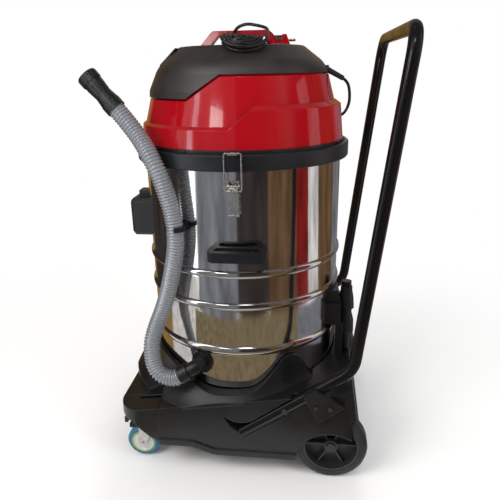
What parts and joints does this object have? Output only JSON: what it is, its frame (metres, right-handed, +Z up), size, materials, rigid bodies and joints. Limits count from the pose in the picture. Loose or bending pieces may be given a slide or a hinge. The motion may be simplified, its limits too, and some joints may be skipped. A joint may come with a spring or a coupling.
{
  "type": "shop vacuum",
  "caption": "Wet and dry shop vacuum: bright steel tank on a wheeled trolley with a push handle, red motor head, side drain hose and clamped lid.",
  "frame": {"origin": "on the floor under the tank axis", "axes": "+Z up, -X towards the suction inlet and the casters, +X towards the push handle"},
  "size_m": [0.6336, 0.544, 0.9541],
  "materials": {
    "trolley_black": "satin mould grain",
    "handle_black": "gloss black paint",
    "tank_steel": "bright polished stainless",
    "zinc_steel": "bright zinc",
    "axle_steel": "ground bar",
    "collar_black": "satin",
    "fitting_black": "satin",
    "red_gloss": "gloss",
    "cover_brown": "satin",
    "panel_black": "satin",
    "rocker_red": "gloss",
    "wheel_black": "moulded rubber",
    "wheel_hub": "satin",
    "caster_teal": "soft tread",
    "caster_white": "satin",
    "hose_grey": "ribbed, silver grey",
    "rubber_black": "soft seal",
    "cord_black": "cable sheath",
    "plug_black": "satin",
    "pin_brass": "bright",
    "motor_alu": "cast",
    "fan_alu": "pressed",
    "filter_cloth": "woven",
    "float_white": "satin"
  },
  "bodies": {
    "machine": {"axle_caps": "fitting_black", "carry_handle": "red_gloss", "caster_cover_far": "trolley_black", "caster_cover_near": "trolley_black", "caster_plates": "zinc_steel", "cord_coil": "cord_black", "cord_gland": "fitting_black", "cord_lead": "cord_black", "cord_tail": "cord_black", "drain_elbow": "fitting_black", "drain_hose": "hose_grey", "dust_filter": "filter_cloth", "float_cage": "fitting_black", "handle_clamp_far": "trolley_black", "handle_clamp_near": "trolley_black", "head_base": "collar_black", "head_gasket": "rubber_black", "hose_clip": "fitting_black", "hose_coupling": "fitting_black", "inlet_deflector": "fitting_black", "latch_bases": "zinc_steel", "latch_hooks": "zinc_steel", "motor_cases": "motor_alu", "plug_body": "plug_black", "plug_pins": "pin_brass", "push_handle": "handle_black", "rear_axle": "axle_steel", "rear_bracket": "fitting_black", "rear_post": "handle_black", "red_housing": "red_gloss", "screws": "zinc_steel", "suction_inlet": "fitting_black", "switch_panel": "panel_black", "tank_collar": "collar_black", "tank_handle_far": "fitting_black", "tank_handle_near": "fitting_black", "tank_shell": "tank_steel", "top_cover": "cover_brown", "trolley_base": "trolley_black"},
    "float": {"float_ball": "float_white"},
    "fan_front": {"fan_rotor_front": "fan_alu"},
    "fan_rear": {"fan_rotor_rear": "fan_alu"},
    "switch_1": {"rocker_1": "rocker_red"},
    "switch_2": {"rocker_2": "rocker_red"},
    "switch_3": {"rocker_3": "rocker_red"},
    "hose_cap": {"drain_cap": "fitting_black"},
    "caster_near": {"caster_fork_near": "zinc_steel"},
    "caster_wheel_near": {"caster_tyre_near": "caster_teal", "caster_hub_near": "caster_white"},
    "rear_wheel_near": {"rear_tyre_near": "wheel_black", "rear_hub_near": "wheel_hub"},
    "lever_near": {"latch_lever_near": "zinc_steel"},
    "bail_near": {"latch_bail_near": "zinc_steel"},
    "caster_far": {"caster_fork_far": "zinc_steel"},
    "caster_wheel_far": {"caster_tyre_far": "caster_teal", "caster_hub_far": "caster_white"},
    "rear_wheel_far": {"rear_tyre_far": "wheel_black", "rear_hub_far": "wheel_hub"},
    "lever_far": {"latch_lever_far": "zinc_steel"},
    "bail_far": {"latch_bail_far": "zinc_steel"}
  },
  "joints": [
    {"name": "caster_swivel_near", "type": "hinge", "parent": "machine", "child": "caster_near", "pos_m": [-0.202, -0.212, 0.0905], "axis": [0, 0, 1], "continuous": true},
    {"name": "caster_roll_near", "type": "hinge", "parent": "caster_near", "child": "caster_wheel_near", "pos_m": [-0.222, -0.212, 0.038], "axis": [0, 1, 0], "continuous": true},
    {"name": "rear_roll_near", "type": "hinge", "parent": "machine", "child": "rear_wheel_near", "pos_m": [0.213, -0.231, 0.079], "axis": [0, 1, 0], "continuous": true},
    {"name": "latch_swing_near", "type": "hinge", "parent": "machine", "child": "lever_near", "pos_m": [0.012, -0.234, 0.652], "axis": [-1, 0, 0], "range_deg": [0, 120]},
    {"name": "bail_swing_near", "type": "hinge", "parent": "lever_near", "child": "bail_near", "pos_m": [0.012, -0.2398, 0.644], "axis": [-1, 0, 0], "range_deg": [-132, 0]},
    {"name": "caster_swivel_far", "type": "hinge", "parent": "machine", "child": "caster_far", "pos_m": [-0.202, 0.212, 0.0905], "axis": [0, 0, 1], "continuous": true},
    {"name": "caster_roll_far", "type": "hinge", "parent": "caster_far", "child": "caster_wheel_far", "pos_m": [-0.222, 0.212, 0.038], "axis": [0, 1, 0], "continuous": true},
    {"name": "rear_roll_far", "type": "hinge", "parent": "machine", "child": "rear_wheel_far", "pos_m": [0.213, 0.231, 0.079], "axis": [0, 1, 0], "continuous": true},
    {"name": "latch_swing_far", "type": "hinge", "parent": "machine", "child": "lever_far", "pos_m": [0.012, 0.234, 0.652], "axis": [1, 0, 0], "range_deg": [0, 120]},
    {"name": "bail_swing_far", "type": "hinge", "parent": "lever_far", "child": "bail_far", "pos_m": [0.012, 0.2398, 0.644], "axis": [1, 0, 0], "range_deg": [-132, 0]},
    {"name": "rocker_tip_1", "type": "hinge", "parent": "machine", "child": "switch_1", "pos_m": [-0.14021, -0.044, 0.88562], "axis": [0, -1, 0], "range_deg": [0, 20]},
    {"name": "rocker_tip_2", "type": "hinge", "parent": "machine", "child": "switch_2", "pos_m": [-0.14021, 0, 0.88562], "axis": [0, -1, 0], "range_deg": [0, 20]},
    {"name": "rocker_tip_3", "type": "hinge", "parent": "machine", "child": "switch_3", "pos_m": [-0.14021, 0.044, 0.88562], "axis": [0, -1, 0], "range_deg": [0, 20]},
    {"name": "fan_spin_front", "type": "hinge", "parent": "machine", "child": "fan_front", "pos_m": [-0.075, 0, 0.735], "axis": [0, 0, 1], "continuous": true},
    {"name": "fan_spin_rear", "type": "hinge", "parent": "machine", "child": "fan_rear", "pos_m": [0.075, 0, 0.735], "axis": [0, 0, 1], "continuous": true},
    {"name": "float_lift", "type": "slide", "parent": "machine", "child": "float", "axis": [0, 0, 1], "range_m": [0, 0.045]},
    {"name": "cap_turn", "type": "hinge", "parent": "machine", "child": "hose_cap", "pos_m": [-0.23, -0.19, 0.804], "axis": [-0.6609, 0.0718, 0.7471], "range_deg": [0, 90]}
  ],
  "couplings": [
    {"joint": "bail_swing_near", "follows": "latch_swing_near", "ratio": -1.1},
    {"joint": "bail_swing_far", "follows": "latch_swing_far", "ratio": -1.1}
  ]
}
